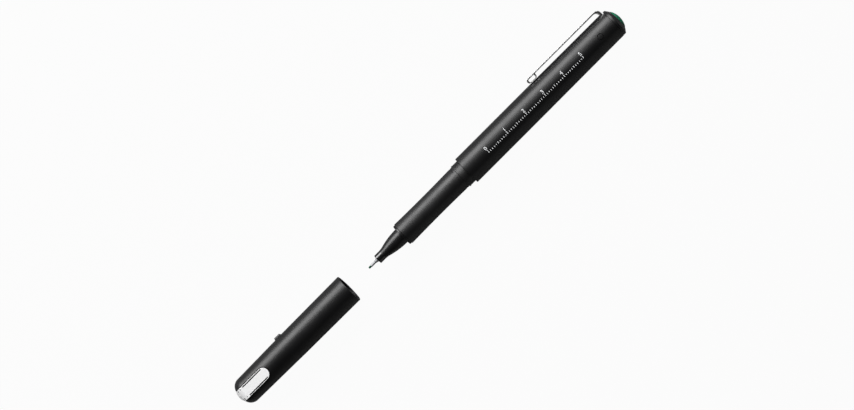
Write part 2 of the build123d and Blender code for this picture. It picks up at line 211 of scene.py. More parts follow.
def sliceAcross(shape, level):
    # new edges where a plane across Y meets the shape
    everything = shape.verts[:] + shape.edges[:] + shape.faces[:]
    bmesh.ops.bisect_plane(shape, geom=everything, plane_co=(0, level, 0), plane_no=(0, 1, 0))


def startTree(name, sockets):
    # a geometry tree with named inputs, its own node adding and the sockets that bring the inputs in
    tree = bpy.data.node_groups.new(name, "GeometryNodeTree")
    for socket, kind in sockets.items():
        tree.interface.new_socket(name=socket, in_out="INPUT", socket_type="NodeSocket" + kind)
    tree.interface.new_socket(name="Geometry", in_out="OUTPUT", socket_type="NodeSocketGeometry")
    return tree, partial(addNode, tree), addNode(tree, "NodeGroupInput").outputs


def runTree(name, tree, values):
    host = addObject(name, bpy.data.meshes.new(name))
    modifier = host.modifiers.new(name, "NODES")
    modifier.node_group = tree
    for item in tree.interface.items_tree:
        if item.in_out == "INPUT":
            modifier[item.identifier] = values[item.name]
    return settle(host)


barrelLow, barrelHigh = span("barrel")
gripLow, gripHigh = span("grip_section")
noseLow, noseHigh = span("nose_cone")
sleeveLow, sleeveHigh = span("nib_sleeve")
nibLow, nibHigh = span("fibre_nib")
crownLow, crownHigh = span("tail_crown")
buttonLow, buttonHigh = span("colour_button")
clipLow, clipHigh = span("clip")
capHigh = span("cap_shell")[1]
linerLow, linerHigh = span("inner_cap")
strapLow, strapHigh = span("cap_strap")
print("frame read, barrel radius", round(barrelHigh.z, 3), "mm")


# Materials


def patterned(name, grain, tones, roughness, relief=None, wear=None, constants=None):
    # grain and wear are noises: length along the pen and width, in millimetres, and detail. The grain mixes
    # two tones and raises the relief (strength, depth in millimetres); the wear, or else the grain,
    # varies the roughness
    material = bpy.data.materials.new(name)
    material.use_nodes = True
    tree = material.node_tree
    tree.nodes.clear()
    add = partial(addNode, tree)
    shader = add("ShaderNodeBsdfPrincipled", constants)
    add("ShaderNodeOutputMaterial", {"Surface": shader})
    place = add("ShaderNodeTexCoord").outputs["Object"]
    noises = []
    for length, width, detail in (grain, wear) if wear else (grain,):
        scale = (1 / (length * mm), 1 / (width * mm), 1 / (width * mm))
        drawnOut = add("ShaderNodeMapping", {"Vector": place, "Scale": scale})
        noises.append(add("ShaderNodeTexNoise", {"Vector": drawnOut, "Scale": 1.0, "Detail": detail}))
    dark, pale = (linear(tone) for tone in tones)
    tone = add("ShaderNodeMix", {0: noises[0], 6: dark, 7: pale}, data_type="RGBA")
    low, high = roughness
    noiseLow, noiseHigh = 0.3, 0.7  # most of a noise lies between these
    sheen = add("ShaderNodeMapRange", {0: noises[-1], 1: noiseLow, 2: noiseHigh, 3: low, 4: high})
    tree.links.new(tone.outputs[2], shader.inputs["Base Color"])
    tree.links.new(sheen.outputs[0], shader.inputs["Roughness"])
    if relief:
        strength, depth = relief
        bump = add("ShaderNodeBump", {"Strength": strength, "Distance": depth * mm, "Height": noises[0]})
        tree.links.new(bump.outputs[0], shader.inputs["Normal"])
    return material


# black ABS, moulded: barrel and cap from a spark-textured mould with a broad soft highlight, the grip
# duller so that its highlight spreads further, the nose cone polished with a tighter, brighter one
def blackAbs(name, specular, grain, roughness, strength):
    return patterned(
        name, (grain, grain, 3.0), ("#0A0A0B", "#0F0F10"), roughness, relief=(strength, 0.02),
        wear=(7, 7, 4.0), constants={"Specular IOR Level": specular},
    )


# the moulds' own grain is about 0.03 mm; it is drawn coarser so that it shows
mattAbs = blackAbs("mouldedMattAbs", 0.41, 0.2, (0.355, 0.415), 0.12)
gripAbs = blackAbs("mouldedGripAbs", 0.5, 0.25, (0.40, 0.48), 0.16)
satinAbs = blackAbs("mouldedSatinAbs", 0.46, 0.6, (0.31, 0.38), 0.06)
glossAbs = blackAbs("mouldedGlossAbs", 0.9, 0.6, (0.16, 0.22), 0.03)
# painted shade: black paint in the strap's grooves and dents stands in for the shade that falls in them;
# level, dull and patchy
grooveShadePaint = blackAbs("wipedBlackEnamel", 0.3, 0.3, (0.5, 0.65), 0.1)

# drawn stainless tube, left as drawn: grey metal with fine lines along its length and a wide dull shine;
# draw lines are about 0.01 mm apart, and they are drawn at 0.08 mm so that they show
drawnSteel = patterned(
    "drawnStainlessTube", (4, 0.08, 2.0), ("#8C8D8F", "#A8A9AB"), (0.6, 0.72), relief=(0.1, 0.01),
    constants={"Metallic": 1.0},
)
# bonded polyester fibre soaked with green ink: dark, wet, streaked along the rod; single fibres are
# about 0.02 mm, and the bundles drawn here are 0.07 mm
inkedFibre = patterned(
    "inkedBondedFibre", (0.9, 0.07, 2.0), ("#05301F", "#0A4A33"), (0.5, 0.65), relief=(0.4, 0.02),
    constants={"Specular IOR Level": 0.1},
)
# green polystyrene, worn satin by handling: deep colour that carries to the dome's edge, little shine
satinGreen = patterned(
    "mouldedSatinGreen", (3, 3, 3.0), ("#075A3F", "#0B6B4C"), (0.38, 0.48),
    constants={"Specular IOR Level": 0.1},
)
# spring steel strip: polished faces are bright with faint rolling lines, broken edges stay matt;
# rolling lines are about 0.02 mm apart, and they are drawn at 0.12 mm so that they show
springSteel, shearedSteel = (
    patterned(
        name, (9, 0.12, 3.0), ("#D0D0CF", "#E2E2E1"), roughness, relief=(0.06, 0.01), wear=(5, 5, 3.0),
        constants={"Metallic": 1.0},
    )
    for name, roughness in (("polishedSpringSteel", (0.12, 0.22)), ("shearedSteelEdge", (0.38, 0.46)))
)
# aluminium strip under a silver-white lacquer: pale and even, with a soft satin shine; lacquer flakes
# are about 0.03 mm, and they are drawn at 0.15 mm so that they show
lacquered = patterned(
    "silverLacquerOnAluminium", (0.15, 0.15, 2.0), ("#E6E6E7", "#F2F2F2"), (0.34, 0.42), relief=(0.05, 0.01),
    constants={"Metallic": 0.12, "Specular IOR Level": 0.5},
)
# dark polyethylene, moulded: waxy, softer and a little paler than the shell
polyethylene = patterned(
    "mouldedPolyethylene", (1.5, 1.5, 4.0), ("#2B2B2D", "#343436"), (0.34, 0.46), relief=(0.1, 0.02),
    constants={"Specular IOR Level": 0.5},
)
# silver pad-printing ink: thin, matt, a little patchy where the pad pressed less
padInk = patterned(
    "silverPadInk", (0.3, 0.3, 3.0), ("#C3C5C6", "#DFE0E1"), (0.4, 0.55),
    constants={"Metallic": 0.1, "Specular IOR Level": 0.4},
)
# polyester fibre stick soaked with ink: felt-like, streaked along its length
inkStick = patterned(
    "inkSoakedPolyester", (6, 0.25, 3.0), ("#1D6B50", "#2F8B6C"), (0.6, 0.8),
    constants={"Specular IOR Level": 0.3},
)
# thin polypropylene film: clear and shiny, with slow ripples
wrapFilm = patterned(
    "clearPolypropyleneFilm", (4, 4, 2.0), ("#DDE1DF", "#EEF0EF"), (0.08, 0.18), relief=(0.1, 0.05),
    constants={"IOR": 1.49, "Transmission Weight": 0.85},
)
print("materials ready:", len(bpy.data.materials))


# Tree that repeats a piece round the axis

ringTree, add, given = startTree(
    "piecesRoundAxis", {"Piece": "Object", "Count": "Int", "First Turn": "Float", "Material": "Material"},
)
points = add("GeometryNodePoints", {"Count": given["Count"]})
index = add("GeometryNodeInputIndex")
step = add("ShaderNodeMath", {0: math.tau, 1: given["Count"]}, operation="DIVIDE")
turn = add("ShaderNodeMath", {0: index, 1: step, 2: given["First Turn"]}, operation="MULTIPLY_ADD")
rotation = add("ShaderNodeCombineXYZ", {"X": turn})
source = add("GeometryNodeObjectInfo", {"Object": given["Piece"]})
placed = add(
    "GeometryNodeInstanceOnPoints",
    {"Points": points, "Instance": source.outputs["Geometry"], "Rotation": rotation},
)
solid = add("GeometryNodeRealizeInstances", {"Geometry": placed})
painted = add("GeometryNodeSetMaterial", {"Geometry": solid, "Material": given["Material"]})
add("NodeGroupOutput", {"Geometry": painted})


def repeatRound(name, shape, count, firstDegrees):
    pattern = newPiece(name + "Pattern", shape, mattAbs)
    piece = runTree(name, ringTree, {
        "Piece": pattern, "Count": count, "First Turn": math.radians(firstDegrees), "Material": mattAbs,
    })
    bpy.data.objects.remove(pattern)
    return piece


# Barrel

barrelLook = {
    "bore": 4.73,
    "straight": 36.0,
    "frontEdge": 0.22,
    "tailEdge": 0.1,
    "rimStep": 0.07,
    "notchDepth": 0.72,
    "notchRoom": 1.05,
    "slotHalfWidth": 1.4,
    "boreEdge": 0.12,
}
crisp = 0.005  # two loops this far to either side keep the notch's edge straight
past = 1.0  # a cutter's reach beyond the surface
barrelRadius = barrelHigh.z
tailRadius = crownHigh.z + barrelLook["rimStep"]
barrelEnd = barrelHigh.x
notchFront = clipHigh.x - barrelLook["notchRoom"]
notchHeight = tailRadius - barrelLook["notchDepth"]


def barrelSurface(along):
    share = max(0.0, (along - barrelLook["straight"]) / (barrelEnd - barrelLook["straight"]))
    return barrelRadius + (tailRadius - barrelRadius) * share


def flatten(piece, fromX, toX, height):
    # presses one side down to a flat, as the clip's notch does
    for vert in piece.data.vertices:
        if fromX * mm < vert.co.x < toX * mm:
            vert.co.y = min(vert.co.y, height * mm)
    shadeSoftly(piece.data)


def squareOff(piece, fromX, height):
    # the notch's floor and walls are cut, not rounded, so they take no soft shading
    close, square = 0.01, 0.9
    for face in piece.data.polygons:
        if face.center.x > (fromX - close) * mm and face.center.y > (height - 2 * close) * mm:
            onFloor = abs(face.center.y - height * mm) < close * mm
            onWall = abs(face.normal.x) > square
            face.use_smooth = not (onFloor or onWall)


def rollOntoBarrel(along, sideways, proud):
    # a place on the flat, in millimetres, to the same place on the barrel's surface
    radius = barrelSurface(along)
    turn = sideways / radius
    return Vector((along, (radius + proud) * math.sin(turn), (radius + proud) * math.cos(turn))) * mm


outline = softOutline(barrelLook, [
    (0, "bore", "boreEdge"),
    (0, barrelRadius, "frontEdge"),
    ("straight", barrelRadius),
    (notchFront - crisp, barrelSurface(notchFront)),
    (notchFront + crisp, barrelSurface(notchFront)),
    (barrelEnd, tailRadius, "tailEdge"),
    (barrelEnd, "bore"),
])
barrel = turned("barrelTube", outline, mattAbs)
flatten(barrel, notchFront, barrelEnd + past, notchHeight)
cutAway(barrel, block(
    (notchFront, barrelLook["bore"] / 2, -barrelLook["slotHalfWidth"]),
    (barrelEnd + past, barrelRadius + past, barrelLook["slotHalfWidth"]),
))

# a ring sunk into the top of the barrel near its tail
ringLook = {
    "along": 71.0,
    "aside": -0.08,
    "radius": 1.13,
    "width": 0.4,
    "depth": 0.36,
    "room": 0.4,
    "steps": 64,
}
halfRing, deep, room = ringLook["width"] / 2, -ringLook["depth"], ringLook["room"]
shape = bmesh.new()
loops = []
for k in range(ringLook["steps"]):
    turn = math.tau * k / ringLook["steps"]
    loop = []
    for outward, proud in ((-halfRing, deep), (-halfRing, room), (halfRing, room), (halfRing, deep)):
        reach = ringLook["radius"] + outward
        along = ringLook["along"] + reach * math.cos(turn)
        aside = ringLook["aside"] + reach * math.sin(turn)
        loop.append(shape.verts.new(rollOntoBarrel(along, aside, proud)))
    loops.append(loop)
for near, far in zip(loops, loops[1:] + loops[:1]):
    bridge(shape, near, far)
cutAway(barrel, shape)
squareOff(barrel, notchFront, notchHeight)
keep(barrel, "pen", "barrel_plastic", "barrel")

ribLook = {
    "count": 6,
    "turn": -90,
    "ends": (11.0, 70.1),
    "thickness": 0.8,
    "inner": 3.36,
    "sunk": 0.1,
    "edge": 0.08,
}
ribFront, ribBack = ribLook["ends"]
ribHalf = ribLook["thickness"] / 2
rib = block(
    (ribFront, -ribHalf, ribLook["inner"]),
    (ribBack, ribHalf, barrelLook["bore"] + ribLook["sunk"]),
    ribLook["edge"],
)
ribs = repeatRound("barrelRibs", rib, ribLook["count"], ribLook["turn"])
keep(ribs, "pen", "barrel_plastic")


# Millimetre scale printed on the barrel

scaleLook = {
    "start": 11.0,
    "count": 51,
    "step": 1.0,
    "width": 0.28,
    "short": 0.6,
    "middle": 0.85,
    "long": 1.15,
    "foot": -1.3,
    "ink": 0.012,
}
tickNames = ("start", "step", "foot", "width", "ink", "short", "middle", "long")
tickSizes = {name: scaleLook[name] for name in tickNames}
tickSizes.update(frontRadius=barrelRadius, tailRadius=tailRadius)
tickSizes.update(straight=barrelLook["straight"], end=barrelEnd)
scaleTree, add, given = startTree(
    "ticksOnBarrel", {"count": "Int", **dict.fromkeys(tickSizes, "Float"), "material": "Material"},
)
begin = add("ShaderNodeCombineXYZ", {"X": given["start"]})
stride = add("ShaderNodeCombineXYZ", {"X": given["step"]})
row = add("GeometryNodeMeshLine", {"Count": given["count"], "Start Location": begin, "Offset": stride})
# every fifth tick has the middle length and every tenth is long
index = add("GeometryNodeInputIndex")
fives = add("ShaderNodeMath", {0: index, 1: 5.0}, operation="MODULO")
tens = add("ShaderNodeMath", {0: index, 1: 10.0}, operation="MODULO")
onFive = add("ShaderNodeMath", {0: fives, 1: 0.5}, operation="LESS_THAN")
onTen = add("ShaderNodeMath", {0: tens, 1: 0.5}, operation="LESS_THAN")
shortOrMiddle = add("ShaderNodeMix", {0: onFive, 2: given["short"], 3: given["middle"]})
tickLength = add("ShaderNodeMix", {0: onTen, 2: shortOrMiddle, 3: given["long"]})
rise = add("ShaderNodeMath", {0: tickLength, 1: 0.5, 2: given["foot"]}, operation="MULTIPLY_ADD")
lift = add("ShaderNodeCombineXYZ", {"Y": rise})
raised = add("GeometryNodeSetPosition", {"Geometry": row, "Offset": lift})
tickSize = add("ShaderNodeCombineXYZ", {"X": given["width"], "Y": 1.0, "Z": given["ink"]})
tick = add("GeometryNodeMeshCube", {"Size": tickSize, "Vertices X": 2, "Vertices Y": 9, "Vertices Z": 2})
stretch = add("ShaderNodeCombineXYZ", {"X": 1.0, "Y": tickLength, "Z": 1.0})
placed = add("GeometryNodeInstanceOnPoints", {"Points": raised, "Instance": tick, "Scale": stretch})
flat = add("GeometryNodeRealizeInstances", {"Geometry": placed})
# the flat row is rolled onto the barrel
position = add("GeometryNodeInputPosition")
where = add("ShaderNodeSeparateXYZ", {0: position}).outputs
surface = add("ShaderNodeMapRange", {
    0: where["X"], 1: given["straight"], 2: given["end"], 3: given["frontRadius"], 4: given["tailRadius"],
})
height = add("ShaderNodeMath", {0: surface, 1: where["Z"]}, operation="ADD")
bend = add("ShaderNodeMath", {0: where["Y"], 1: surface}, operation="DIVIDE")
sine = add("ShaderNodeMath", {0: bend}, operation="SINE")
cosine = add("ShaderNodeMath", {0: bend}, operation="COSINE")
across = add("ShaderNodeMath", {0: height, 1: sine}, operation="MULTIPLY")
upward = add("ShaderNodeMath", {0: height, 1: cosine}, operation="MULTIPLY")
wrapped = add("ShaderNodeCombineXYZ", {"X": where["X"], "Y": across, "Z": upward})
rolled = add("GeometryNodeSetPosition", {"Geometry": flat, "Position": wrapped})
painted = add("GeometryNodeSetMaterial", {"Geometry": rolled, "Material": given["material"]})
add("NodeGroupOutput", {"Geometry": painted})
ticks = runTree("scaleTicks", scaleTree, {
    "count": scaleLook["count"],
    "material": padInk,
    **{name: size * mm for name, size in tickSizes.items()},
})
keep(ticks, "pen", "barrel_plastic")

digitLook = {
    "numbers": 6,
    "ticksApart": 10,
    "height": 1.55,
    "heightInFont": 0.7,
    "foot": 0.1,
    "cuts": 11,
    "cutSpacing": 0.15,
    "weld": 0.0005,
}
digits = bmesh.new()
for number in range(digitLook["numbers"]):
    words = bpy.data.curves.new("digit", "FONT")
    words.body = str(number)
    words.align_x = "CENTER"
    words.size = digitLook["height"] / digitLook["heightInFont"]
    words.extrude = scaleLook["ink"] / 2
    words.resolution_u = 6
    writing = addObject("digit", words)
    graph = bpy.context.evaluated_depsgraph_get()
    flatDigit = bpy.data.meshes.new_from_object(writing.evaluated_get(graph))
    bpy.data.objects.remove(writing)
    part = bmesh.new()
    part.from_mesh(flatDigit)
    bmesh.ops.remove_doubles(part, verts=part.verts, dist=digitLook["weld"])
    # cuts across the digit let it bend round the barrel
    for cut in range(1, digitLook["cuts"] + 1):
        sliceAcross(part, cut * digitLook["cutSpacing"])
    middle = scaleLook["start"] + number * digitLook["ticksApart"] * scaleLook["step"]
    for vert in part.verts:
        vert.co = rollOntoBarrel(middle + vert.co.x, digitLook["foot"] + vert.co.y, vert.co.z)
    part.to_mesh(flatDigit)
    part.free()
    digits.from_mesh(flatDigit)
digitPrint = newPiece("scaleDigits", digits, padInk)
keep(digitPrint, "pen", "barrel_plastic")


# Grip section with its collar, and the lugs round the collar

gripLook = {
    "beadHeight": 0.12,
    "beadLength": 0.75,
    "collarStep": 0.23,
    "collarLength": 3.16,
    "waist": 0.14,
    "frontEdge": 0.3,
    "bore": 3.36,
    "spigotRadius": 4.71,
    "lineAt": -4.11,
    "lineWidth": 0.35,
    "lineDepth": 0.1,
    "waistEnds": (0.9, 0.3),
    "waistDrop": 0.016,
    "lineEdge": 0.04,
    "lineRoot": 0.03,
    "collarRoot": 0.06,
    "collarEdge": 0.04,
    "seatEdge": 0.03,
    "spigotEdge": 0.25,
    "boreEdge": 0.1,
}
collarRadius = gripHigh.z - gripLook["beadHeight"]
gripRadius = collarRadius - gripLook["collarStep"]
collarFront = -gripLook["collarLength"]
beadBack = collarFront + gripLook["beadLength"]
lineFront = gripLook["lineAt"] - gripLook["lineWidth"] / 2
lineBack = gripLook["lineAt"] + gripLook["lineWidth"] / 2
waistFront = (gripLow.x + gripLook["waistEnds"][0], gripRadius - gripLook["waistDrop"])
waistBack = (lineFront - gripLook["waistEnds"][1], gripRadius)
waistBow = bowed(waistFront, waistBack, -gripLook["waist"], count=36)
beadFront = collarFront + gripLook["collarRoot"]
bead = bowed((beadFront, collarRadius), (beadBack, collarRadius), gripLook["beadHeight"], count=10)
outline = softOutline(
    gripLook,
    [(gripLow.x, "bore"), (gripLow.x, gripRadius, "frontEdge")]
    + waistBow
    + [
        (lineFront, gripRadius, "lineEdge"),
        (lineFront, gripRadius - gripLook["lineDepth"], "lineRoot"),
        (lineBack, gripRadius - gripLook["lineDepth"], "lineRoot"),
        (lineBack, gripRadius, "lineEdge"),
        (collarFront, gripRadius, "collarRoot"),
        (collarFront, collarRadius, "collarEdge"),
    ]
    + bead
    + [
        (barrelLow.x, collarRadius, "seatEdge"),
        (barrelLow.x, "spigotRadius", "seatEdge"),
        (gripHigh.x, "spigotRadius", "spigotEdge"),
        (gripHigh.x, "bore", "boreEdge"),
    ]
)
grip = turned("gripSection", outline, gripAbs)
keep(grip, "pen", "barrel_plastic", "grip_section")

lugLook = {
    "count": 3,
    "turn": -56,
    "length": 1.73,
    "width": 1.2,
    "gap": 0.4,
    "height": 0.05,
    "sunk": 0.6,
    "edge": 0.05,
}
lugFront = beadBack + lugLook["gap"]
lug = block(
    (lugFront, -lugLook["width"] / 2, collarRadius - lugLook["sunk"]),
    (lugFront + lugLook["length"], lugLook["width"] / 2, collarRadius + lugLook["height"]),
    lugLook["edge"],
)
lugs = repeatRound("collarLugs", lug, lugLook["count"], lugLook["turn"])
keep(lugs, "pen", "barrel_plastic")


# Nose cone, sleeve and fibre tip

sleeveLook = {
    "radius": 0.5,
    "rootLength": 1.3,
    "rootGap": 0.02,
    "rootEdge": 0.06,
    "rootFade": 0.8,
    "boreGap": 0.02,
    "rolledEdge": 0.06,
    "tailEdge": 0.05,
    "tailBoreEdge": 0.03,
    "hold": 0.01,
}
noseLook = {
    "flangeLength": 0.8,
    "flangeEdge": 0.2,
    "shoulder": 1.29,
    "ogiveLength": 9.0,
    "bulge": 0.3,
    "shoulderRadius": 2.01,
    "neckRadius": 1.9,
    "neckLength": 2.8,
    "neckEdge": 0.32,
    "spigotRadius": 3.34,
    "chamberRadius": 1.4,
    "boreGap": 0.02,
    "chamberEdge": 0.1,
    "spigotEdge": 0.2,
    "seatEdge": 0.05,
    "flangeRoot": 0.14,
    "ogiveInset": 0.25,
    "ogiveLift": 0.05,
    "shoulderEdge": 0.25,
    "neckRoot": 0.4,
    "mouthEdge": 0.06,
}
flangeFront = gripLow.x - noseLook["flangeLength"]
ogiveFront = flangeFront - noseLook["ogiveLength"]
rootRadius = noseHigh.z - noseLook["shoulder"]
sleeveBore = sleeveLook["radius"] + noseLook["boreGap"]
ogiveRoot = (flangeFront - noseLook["ogiveInset"], rootRadius)
ogiveTip = (ogiveFront + noseLook["ogiveInset"], noseLook["shoulderRadius"] + noseLook["ogiveLift"])
ogive = bowed(ogiveRoot, ogiveTip, noseLook["bulge"], count=24)
outline = softOutline(
    noseLook,
    [
        (noseHigh.x, "chamberRadius", "chamberEdge"),
        (noseHigh.x, "spigotRadius", "spigotEdge"),
        (gripLow.x, "spigotRadius"),
        (gripLow.x, noseHigh.z, "seatEdge"),
        (flangeFront, noseHigh.z, "flangeEdge"),
        (flangeFront, rootRadius, "flangeRoot"),
    ]
    + ogive
    + [
        (ogiveFront, "shoulderRadius", "shoulderEdge"),
        (noseLow.x + noseLook["neckLength"], "neckRadius", "neckRoot"),
        (noseLow.x, "neckRadius", "neckEdge"),
        (noseLow.x, sleeveBore, "mouthEdge"),
        (sleeveHigh.x, sleeveBore),
        (sleeveHigh.x, "chamberRadius"),
    ]
)
nose = turned("noseCone", outline, satinAbs)
nose.data.materials.append(glossAbs)
for face in nose.data.polygons:
    # only the neck is polished
    face.material_index = 1 if face.center.x < (noseLow.x + noseLook["neckLength"]) * mm else 0
keep(nose, "pen", "nose_plastic", "nose_cone")

sleeveInner = nibHigh.z + sleeveLook["boreGap"]
sleeveRoot = noseLow.x - sleeveLook["rootGap"]
outline = softOutline(sleeveLook, [
    (sleeveHigh.x, sleeveInner, "tailBoreEdge"),
    (sleeveHigh.x, "radius", "tailEdge"),
    (sleeveRoot, "radius"),
    (sleeveRoot, sleeveHigh.z, "rootEdge"),
    (sleeveRoot - sleeveLook["rootLength"], "radius", "rootFade"),
    (sleeveLow.x, "radius", "rolledEdge"),
    (sleeveLow.x, sleeveInner, "rolledEdge"),
], hold=sleeveLook["hold"])
sleeve = turned("nibSleeve", outline, drawnSteel, segments=64)
keep(sleeve, "pen", "sleeve_steel", "nib_sleeve")

# the fibres spread a little where they leave the sleeve
nibLook = {"spread": 0.07, "mouthGap": 0.08, "rear": 8}
nibRadius = nibHigh.z
tipRadius = nibRadius + nibLook["spread"]
tip = arc((nibLow.x + tipRadius, 0), tipRadius, 180, 90, count=12)
nibMouth = sleeveLow.x - nibLook["mouthGap"]
outline = [(nibLow.x, 0)] + tip[1:] + [(nibMouth - nibLook["spread"], tipRadius)]
for k in range(nibLook["rear"] + 1):
    outline.append((nibMouth + (nibHigh.x - nibMouth) * k / nibLook["rear"], nibRadius))
outline.append((nibHigh.x, 0))
nib = turned("fibreTip", outline, inkedFibre, closed=False, segments=48)
keep(nib, "pen", "nib_fibre", "fibre_nib")


# Tail crown and its green button

crownLook = {
    "postRadius": 2.2,
    "postLength": 5.0,
    "spigotRadius": 4.71,
    "seamWidth": 0.2,
    "seamDepth": 0.22,
    "rimLength": 0.95,
    "rimEdge": 0.22,
    "coneEdge": 0.08,
    "lip": 0.55,
    "beadHeight": 0.2,
    "beadWidth": 0.12,
    "notchBack": 0.45,
    "wellGap": 0.02,
    "wellDepth": 0.6,
    "stemRadius": 1.5,
    "tongueFront": 74.72,
    "tongueFloor": 3.705,
    "postEdge": 0.3,
    "postRoot": 0.1,
    "spigotEdge": 0.3,
    "seamRoot": 0.03,
    "seamEdge": 0.06,
    "beadEdge": 0.06,
    "beadInnerEdge": 0.03,
    "notchLead": 0.01,
}
seamBack = barrelEnd + crownLook["seamWidth"]
rimBack = seamBack + crownLook["rimLength"]
coneEnd = crownHigh.x
coneRadius = buttonHigh.z + crownLook["lip"]
wellRadius = buttonHigh.z + crownLook["wellGap"]
spigotFront = crownLow.x + crownLook["postLength"]
wellFloor = coneEnd - crownLook["wellDepth"]
notchEnd = barrelEnd + crownLook["notchBack"]
outline = softOutline(crownLook, [
    (crownLow.x, 0),
    (crownLow.x, "postRadius", "postEdge"),
    (spigotFront, "postRadius", "postRoot"),
    (spigotFront, "spigotRadius", "spigotEdge"),
    (barrelEnd, "spigotRadius"),
    (barrelEnd, crownHigh.z - crownLook["seamDepth"]),
    (seamBack, crownHigh.z - crownLook["seamDepth"], "seamRoot"),
    (seamBack, crownHigh.z, "seamEdge"),
    (notchEnd - crisp, crownHigh.z),
    (notchEnd + crisp, crownHigh.z),
    (rimBack, crownHigh.z, "rimEdge"),
    (coneEnd, coneRadius, "coneEdge"),
    (coneEnd + crownLook["beadHeight"], wellRadius + crownLook["beadWidth"], "beadEdge"),
    (coneEnd + crownLook["beadHeight"], wellRadius, "beadInnerEdge"),
    (wellFloor, wellRadius),
    (wellFloor, crownLook["stemRadius"] + crownLook["wellGap"]),
    (buttonLow.x - crownLook["wellGap"], crownLook["stemRadius"] + crownLook["wellGap"]),
    (buttonLow.x - crownLook["wellGap"], 0),
])
crown = turned("tailCrown", outline, mattAbs, closed=False)
flatten(crown, barrelEnd - crownLook["notchLead"], notchEnd, notchHeight)
cutAway(crown, block(
    (crownLook["tongueFront"], crownLook["tongueFloor"], -barrelLook["slotHalfWidth"]),
    (barrelEnd, barrelRadius + past, barrelLook["slotHalfWidth"]),
))
squareOff(crown, barrelEnd, notchHeight)
keep(crown, "pen", "barrel_plastic", "tail_crown")

buttonLook = {
    "dome": 1.08,
    "domeShort": 0.08,
    "rim": (0.02, 0.03),
    "footEdge": 0.04,
    "stemRadius": 1.5,
    "stemEdge": 0.2,
}
domeBase = buttonHigh.x - buttonLook["dome"]
domeRadius = (buttonHigh.z ** 2 + buttonLook["dome"] ** 2) / (2 * buttonLook["dome"])
domeReach = math.degrees(math.asin((buttonHigh.z - buttonLook["domeShort"]) / domeRadius))
dome = arc((buttonHigh.x - domeRadius, 0), domeRadius, 0, domeReach, count=20)
outline = dome + softOutline(buttonLook, [
    (domeBase + buttonLook["rim"][0], buttonHigh.z - buttonLook["rim"][1]),
    (domeBase, buttonHigh.z),
    (wellFloor, buttonHigh.z, "footEdge"),
    (wellFloor, "stemRadius"),
    (buttonLow.x, "stemRadius", "stemEdge"),
    (buttonLow.x, 0),
])
outline[0] = (buttonHigh.x, 0)
button = turned("greenButton", outline, satinGreen, closed=False, segments=96)
keep(button, "pen", "button_plastic", "colour_button")
print("pen body done")


# Clip: one steel strip, drawn by its outer and inner faces, with a folded loop and a hooked tongue

clipLook = {
    "armThickness": 0.46,
    "loopThickness": 0.38,
    "tongueThickness": 0.36,
    "legThickness": 0.95,
    "armProud": 0.14,
    "loopGap": 0.08,
    "curlBack": 4.24,
    "curlBend": 0.9,
    "curlRoom": 0.04,
    "curlFlare": 0.16,
    "outerBend": 1.7,
    "innerBend": 1.5,
    "foldThickness": 0.62,
    "foldRound": 0.42,
    "footGap": 0.02,
    "tongueHalfWidth": 1.2,
    "tongueBend": 0.64,
    "tongueReach": 2.31,
    "tongueStraight": 0.7,
    "hookInset": 0.01,
    "hookOverlap": 0.1,
    "hookAbove": 0.2,
    "edge": 0.06,
    "edgeHold": 1.3,
    "mattTilts": (0.15, 0.99),
    "rubbedTilt": 0.35,
    "rubbedBand": 0.05,
}
armTop = clipHigh.y + clipLook["armProud"]
armUnder = armTop - clipLook["armThickness"]
loopFace = barrelRadius + clipLook["loopGap"]
loopTop = loopFace + clipLook["loopThickness"]
foldOuter = (armTop - loopFace) / 2
foldInner = (armUnder - loopTop) / 2
foldAt = clipLow.x + foldOuter
curlOuter = clipLow.x + clipLook["curlBack"]
curlInner = curlOuter - clipLook["loopThickness"]
curlFoot = curlOuter - clipLook["curlBend"]
curlEnd = armUnder - clipLook["curlRoom"]
legOuter = clipHigh.x
legInner = legOuter - clipLook["legThickness"]
legFoot = notchHeight + clipLook["footGap"]


def evenly(start, end, count):
    # count points from start on, without the end itself
    run, rise = end[0] - start[0], end[1] - start[1]
    return [(start[0] + run * k / count, start[1] + rise * k / count) for k in range(count)]


def clipFace(curlX, flare, curlBend, loopY, foldRadius, foldReach, armY, bendRadius, legX):
    # one face of the strip from the curl's end round the fold, along the arm and down the leg
    curlMiddle = (curlFoot, loopY + curlBend)
    foldMiddle = (foldAt, (armY + loopY) / 2)
    bendMiddle = (legX - bendRadius, armY - bendRadius)
    points = evenly((curlX + flare, curlEnd), (curlX, curlMiddle[1]), count=4)
    points += arc(curlMiddle, curlBend, 0, -90, count=10)
    points += evenly((curlFoot, loopY), (foldAt, loopY), count=5)[1:]
    fold = arc(foldMiddle, foldRadius, -90, -270, count=28)
    points += [(foldAt + (x - foldAt) * foldReach / foldRadius, y) for x, y in fold]
    points += evenly((foldAt, armY), (bendMiddle[0], armY), count=40)[1:]
    points += arc(bendMiddle, bendRadius, 90, 0, count=18)
    points += evenly((legX, bendMiddle[1]), (legX, legFoot), count=6)[1:] + [(legX, legFoot)]
    return points


def foldRounding(x, y):
    # the strip's outer edge is well rounded on the lower half of the fold, which slides over cloth
    down = ((armTop + loopFace) / 2 - y) / foldOuter
    if x >= foldAt or down <= 0:
        return clipLook["edge"]
    return clipLook["edge"] + (clipLook["foldRound"] - clipLook["edge"]) * min(1, 2 * down)


def edgeProfile(edge, half):
    # depth from the face and height, round one long edge of the strip
    quarter = [math.radians(22.5 * k) for k in range(5)]
    corner = [(edge * (1 - math.cos(a)), half - edge * (1 - math.sin(a))) for a in quarter]
    held = clipLook["edgeHold"] * edge
    return [(0, half - held)] + corner + [(held, half)]


